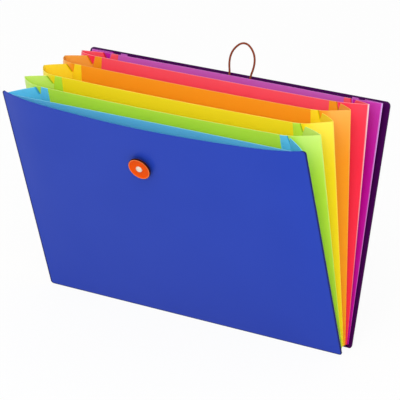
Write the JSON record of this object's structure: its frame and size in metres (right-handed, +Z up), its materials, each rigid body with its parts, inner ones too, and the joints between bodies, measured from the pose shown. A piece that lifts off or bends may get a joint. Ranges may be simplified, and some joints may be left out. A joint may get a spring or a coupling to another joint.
{
  "type": "accordion file folder",
  "caption": "Standing fan-shaped expanding file: coloured sheets joined by folding side gussets between two stiff covers, closed by an elastic loop over a button.",
  "frame": {"origin": "on the floor at the back cover's standing edge, under the middle line of the pocket sheets", "axes": "+X along the file's width, +Y towards the back, +Z up"},
  "size_m": [0.335, 0.1817, 0.2548],
  "materials": {
    "blue_sheet": "glossy extruded polypropylene sheet",
    "dark_purple_sheet": "glossy extruded polypropylene sheet",
    "cyan_sheet": "translucent polypropylene sheet",
    "green_sheet": "translucent polypropylene sheet",
    "yellow_sheet": "translucent polypropylene sheet",
    "orange_sheet": "translucent polypropylene sheet",
    "red_sheet": "translucent polypropylene sheet",
    "magenta_sheet": "translucent polypropylene sheet",
    "button": "moulded, satin",
    "rivet": "moulded, natural white",
    "elastic": "braided cover over rubber",
    "ferrule": "crimped plated steel"
  },
  "bodies": {
    "back_cover": {"back_cover": "dark_purple_sheet", "elastic_legs": "elastic", "elastic_end_stops": "ferrule", "magenta_left_weld_tab": "magenta_sheet", "magenta_right_weld_tab": "magenta_sheet", "magenta_pocket_floor": "magenta_sheet"},
    "magenta_sheet": {"magenta_panel": "magenta_sheet", "red_left_weld_tab": "red_sheet", "red_right_weld_tab": "red_sheet", "red_pocket_floor": "red_sheet"},
    "red_sheet": {"red_panel": "red_sheet", "orange_left_weld_tab": "orange_sheet", "orange_right_weld_tab": "orange_sheet", "orange_pocket_floor": "orange_sheet"},
    "orange_sheet": {"orange_panel": "orange_sheet", "yellow_left_weld_tab": "yellow_sheet", "yellow_right_weld_tab": "yellow_sheet", "yellow_pocket_floor": "yellow_sheet"},
    "yellow_sheet": {"yellow_panel": "yellow_sheet", "green_left_weld_tab": "green_sheet", "green_right_weld_tab": "green_sheet", "green_pocket_floor": "green_sheet"},
    "green_sheet": {"green_panel": "green_sheet", "cyan_left_weld_tab": "cyan_sheet", "cyan_right_weld_tab": "cyan_sheet", "cyan_pocket_floor": "cyan_sheet"},
    "front": {"front_cover": "blue_sheet", "cyan_panel": "cyan_sheet", "button_rivet": "rivet", "rivet_cap": "rivet"},
    "cyan_left_leaf": {"cyan_left_gusset": "cyan_sheet"},
    "cyan_right_leaf": {"cyan_right_gusset": "cyan_sheet"},
    "green_left_strip": {"green_left_outer_strip": "green_sheet"},
    "green_left_leaf": {"green_left_gusset": "green_sheet"},
    "green_right_strip": {"green_right_outer_strip": "green_sheet"},
    "green_right_leaf": {"green_right_gusset": "green_sheet"},
    "yellow_left_strip": {"yellow_left_outer_strip": "yellow_sheet"},
    "yellow_left_leaf": {"yellow_left_gusset": "yellow_sheet"},
    "yellow_right_strip": {"yellow_right_outer_strip": "yellow_sheet"},
    "yellow_right_leaf": {"yellow_right_gusset": "yellow_sheet"},
    "orange_left_strip": {"orange_left_outer_strip": "orange_sheet"},
    "orange_left_leaf": {"orange_left_gusset": "orange_sheet"},
    "orange_right_strip": {"orange_right_outer_strip": "orange_sheet"},
    "orange_right_leaf": {"orange_right_gusset": "orange_sheet"},
    "red_left_strip": {"red_left_outer_strip": "red_sheet"},
    "red_left_leaf": {"red_left_gusset": "red_sheet"},
    "red_right_strip": {"red_right_outer_strip": "red_sheet"},
    "red_right_leaf": {"red_right_gusset": "red_sheet"},
    "magenta_left_strip": {"magenta_left_outer_strip": "magenta_sheet"},
    "magenta_left_leaf": {"magenta_left_gusset": "magenta_sheet"},
    "magenta_right_strip": {"magenta_right_outer_strip": "magenta_sheet"},
    "magenta_right_leaf": {"magenta_right_gusset": "magenta_sheet"},
    "button": {"closure_button": "button"},
    "loop": {"elastic_loop": "elastic"}
  },
  "joints": [
    {"name": "magenta_pocket", "type": "hinge", "parent": "back_cover", "child": "magenta_sheet", "pos_m": [0, -0.00263, 0.0039], "axis": [-1, 0, 0], "range_deg": [0, 3.5]},
    {"name": "magenta_left_strip_fold", "type": "hinge", "parent": "magenta_sheet", "child": "magenta_left_strip", "pos_m": [-0.161, -0.00263, 0.0039], "axis": [0.1147, 0.2218, 0.9683], "range_deg": [0, 17.8]},
    {"name": "magenta_left_gusset_fold", "type": "hinge", "parent": "magenta_left_strip", "child": "magenta_left_leaf", "pos_m": [-0.16235, -0.00192, 0.00372], "axis": [-0.0047, -0.2551, -0.9669], "range_deg": [0, 35.59]},
    {"name": "magenta_right_strip_fold", "type": "hinge", "parent": "magenta_sheet", "child": "magenta_right_strip", "pos_m": [0.161, -0.00263, 0.0039], "axis": [0.1147, -0.2218, -0.9683], "range_deg": [0, 17.8]},
    {"name": "magenta_right_gusset_fold", "type": "hinge", "parent": "magenta_right_strip", "child": "magenta_right_leaf", "pos_m": [0.16235, -0.00192, 0.00372], "axis": [-0.0047, 0.2551, 0.9669], "range_deg": [0, 35.59]},
    {"name": "red_pocket", "type": "hinge", "parent": "magenta_sheet", "child": "red_sheet", "pos_m": [0, -0.00575, 0.00462], "axis": [-1, 0, 0], "range_deg": [0, 6.4]},
    {"name": "red_left_strip_fold", "type": "hinge", "parent": "red_sheet", "child": "red_left_strip", "pos_m": [-0.161, -0.00575, 0.00462], "axis": [0.1147, 0.1125, 0.987], "range_deg": [0, 30.79]},
    {"name": "red_left_gusset_fold", "type": "hinge", "parent": "red_left_strip", "child": "red_left_leaf", "pos_m": [-0.16215, -0.00474, 0.00446], "axis": [-0.0149, -0.1693, -0.9855], "range_deg": [0, 61.59]},
    {"name": "red_right_strip_fold", "type": "hinge", "parent": "red_sheet", "child": "red_right_strip", "pos_m": [0.161, -0.00575, 0.00462], "axis": [0.1147, -0.1125, -0.987], "range_deg": [0, 30.79]},
    {"name": "red_right_gusset_fold", "type": "hinge", "parent": "red_right_strip", "child": "red_right_leaf", "pos_m": [0.16215, -0.00474, 0.00446], "axis": [-0.0149, 0.1693, 0.9855], "range_deg": [0, 61.59]},
    {"name": "orange_pocket", "type": "hinge", "parent": "red_sheet", "child": "orange_sheet", "pos_m": [0, -0.00893, 0.00498], "axis": [-1, 0, 0], "range_deg": [0, 8.1]},
    {"name": "orange_left_strip_fold", "type": "hinge", "parent": "orange_sheet", "child": "orange_left_strip", "pos_m": [-0.161, -0.00893, 0.00498], "axis": [0.1147, -0.0277, 0.993], "range_deg": [0, 39.24]},
    {"name": "orange_left_gusset_fold", "type": "hinge", "parent": "orange_left_strip", "child": "orange_left_leaf", "pos_m": [-0.16199, -0.00775, 0.00495], "axis": [-0.0242, -0.0428, -0.9988], "range_deg": [0, 78.49]},
    {"name": "orange_right_strip_fold", "type": "hinge", "parent": "orange_sheet", "child": "orange_right_strip", "pos_m": [0.161, -0.00893, 0.00498], "axis": [0.1147, 0.0277, -0.993], "range_deg": [0, 39.24]},
    {"name": "orange_right_gusset_fold", "type": "hinge", "parent": "orange_right_strip", "child": "orange_right_leaf", "pos_m": [0.16199, -0.00775, 0.00495], "axis": [-0.0242, 0.0428, 0.9988], "range_deg": [0, 78.49]},
    {"name": "yellow_pocket", "type": "hinge", "parent": "orange_sheet", "child": "yellow_sheet", "pos_m": [0, -0.01213, 0.00489], "axis": [-1, 0, 0], "range_deg": [0, 7.5]},
    {"name": "yellow_left_strip_fold", "type": "hinge", "parent": "yellow_sheet", "child": "yellow_left_strip", "pos_m": [-0.161, -0.01213, 0.00489], "axis": [0.1147, -0.1571, 0.9809], "range_deg": [0, 36.16]},
    {"name": "yellow_left_gusset_fold", "type": "hinge", "parent": "yellow_left_strip", "child": "yellow_left_leaf", "pos_m": [-0.16205, -0.01101, 0.00501], "axis": [-0.0206, 0.0929, -0.9955], "range_deg": [0, 72.32]},
    {"name": "yellow_right_strip_fold", "type": "hinge", "parent": "yellow_sheet", "child": "yellow_right_strip", "pos_m": [0.161, -0.01213, 0.00489], "axis": [0.1147, 0.1571, -0.9809], "range_deg": [0, 36.16]},
    {"name": "yellow_right_gusset_fold", "type": "hinge", "parent": "yellow_right_strip", "child": "yellow_right_leaf", "pos_m": [0.16205, -0.01101, 0.00501], "axis": [-0.0206, -0.0929, 0.9955], "range_deg": [0, 72.32]},
    {"name": "green_pocket", "type": "hinge", "parent": "yellow_sheet", "child": "green_sheet", "pos_m": [0, -0.01529, 0.00438], "axis": [-1, 0, 0], "range_deg": [0, 5.1]},
    {"name": "green_left_strip_fold", "type": "hinge", "parent": "green_sheet", "child": "green_left_strip", "pos_m": [-0.161, -0.01529, 0.00438], "axis": [0.1147, -0.2437, 0.963], "range_deg": [0, 24.8]},
    {"name": "green_left_gusset_fold", "type": "hinge", "parent": "green_left_strip", "child": "green_left_leaf", "pos_m": [-0.16225, -0.01441, 0.00457], "axis": [-0.0095, 0.2005, -0.9796], "range_deg": [0, 49.61]},
    {"name": "green_right_strip_fold", "type": "hinge", "parent": "green_sheet", "child": "green_right_strip", "pos_m": [0.161, -0.01529, 0.00438], "axis": [0.1147, 0.2437, -0.963], "range_deg": [0, 24.8]},
    {"name": "green_right_gusset_fold", "type": "hinge", "parent": "green_right_strip", "child": "green_right_leaf", "pos_m": [0.16225, -0.01441, 0.00457], "axis": [-0.0095, -0.2005, 0.9796], "range_deg": [0, 49.61]},
    {"name": "cyan_pocket", "type": "hinge", "parent": "green_sheet", "child": "front", "pos_m": [0, -0.01839, 0.0036], "axis": [-1, 0, 0], "range_deg": [0, 4.3]},
    {"name": "cyan_left_gusset_fold", "type": "hinge", "parent": "front", "child": "cyan_left_leaf", "pos_m": [-0.1605, -0.01808, 0.0037], "axis": [0, 0.3173, -0.9483], "range_deg": [0, 38.03]},
    {"name": "cyan_right_gusset_fold", "type": "hinge", "parent": "front", "child": "cyan_right_leaf", "pos_m": [0.1605, -0.01808, 0.0037], "axis": [0, -0.3173, 0.9483], "range_deg": [0, 38.03]},
    {"name": "button_turn", "type": "hinge", "parent": "front", "child": "button", "pos_m": [-0.0085, -0.09103, 0.17744], "axis": [-0.0083, -0.9256, -0.3783], "continuous": true},
    {"name": "loop_swing", "type": "hinge", "parent": "back_cover", "child": "loop", "pos_m": [0.004, 0.06482, 0.22662], "axis": [1, 0, 0], "range_deg": [-60, 80], "stiffness_Nm_per_rad": 0.002}
  ],
  "couplings": [
    {"joint": "magenta_left_strip_fold", "follows": "magenta_pocket", "ratio": 4.742},
    {"joint": "magenta_left_gusset_fold", "follows": "magenta_pocket", "ratio": 9.4841},
    {"joint": "magenta_right_strip_fold", "follows": "magenta_pocket", "ratio": 4.742},
    {"joint": "magenta_right_gusset_fold", "follows": "magenta_pocket", "ratio": 9.4841},
    {"joint": "red_left_strip_fold", "follows": "red_pocket", "ratio": 4.6239},
    {"joint": "red_left_gusset_fold", "follows": "red_pocket", "ratio": 9.2479},
    {"joint": "red_right_strip_fold", "follows": "red_pocket", "ratio": 4.6239},
    {"joint": "red_right_gusset_fold", "follows": "red_pocket", "ratio": 9.2479},
    {"joint": "orange_left_strip_fold", "follows": "orange_pocket", "ratio": 4.6967},
    {"joint": "orange_left_gusset_fold", "follows": "orange_pocket", "ratio": 9.3935},
    {"joint": "orange_right_strip_fold", "follows": "orange_pocket", "ratio": 4.6967},
    {"joint": "orange_right_gusset_fold", "follows": "orange_pocket", "ratio": 9.3935},
    {"joint": "yellow_left_strip_fold", "follows": "yellow_pocket", "ratio": 4.6614},
    {"joint": "yellow_left_gusset_fold", "follows": "yellow_pocket", "ratio": 9.3229},
    {"joint": "yellow_right_strip_fold", "follows": "yellow_pocket", "ratio": 4.6614},
    {"joint": "yellow_right_gusset_fold", "follows": "yellow_pocket", "ratio": 9.3229},
    {"joint": "green_left_strip_fold", "follows": "green_pocket", "ratio": 4.6283},
    {"joint": "green_left_gusset_fold", "follows": "green_pocket", "ratio": 9.2566},
    {"joint": "green_right_strip_fold", "follows": "green_pocket", "ratio": 4.6283},
    {"joint": "green_right_gusset_fold", "follows": "green_pocket", "ratio": 9.2566},
    {"joint": "cyan_left_gusset_fold", "follows": "cyan_pocket", "ratio": 8.2857},
    {"joint": "cyan_right_gusset_fold", "follows": "cyan_pocket", "ratio": 8.2857}
  ]
}
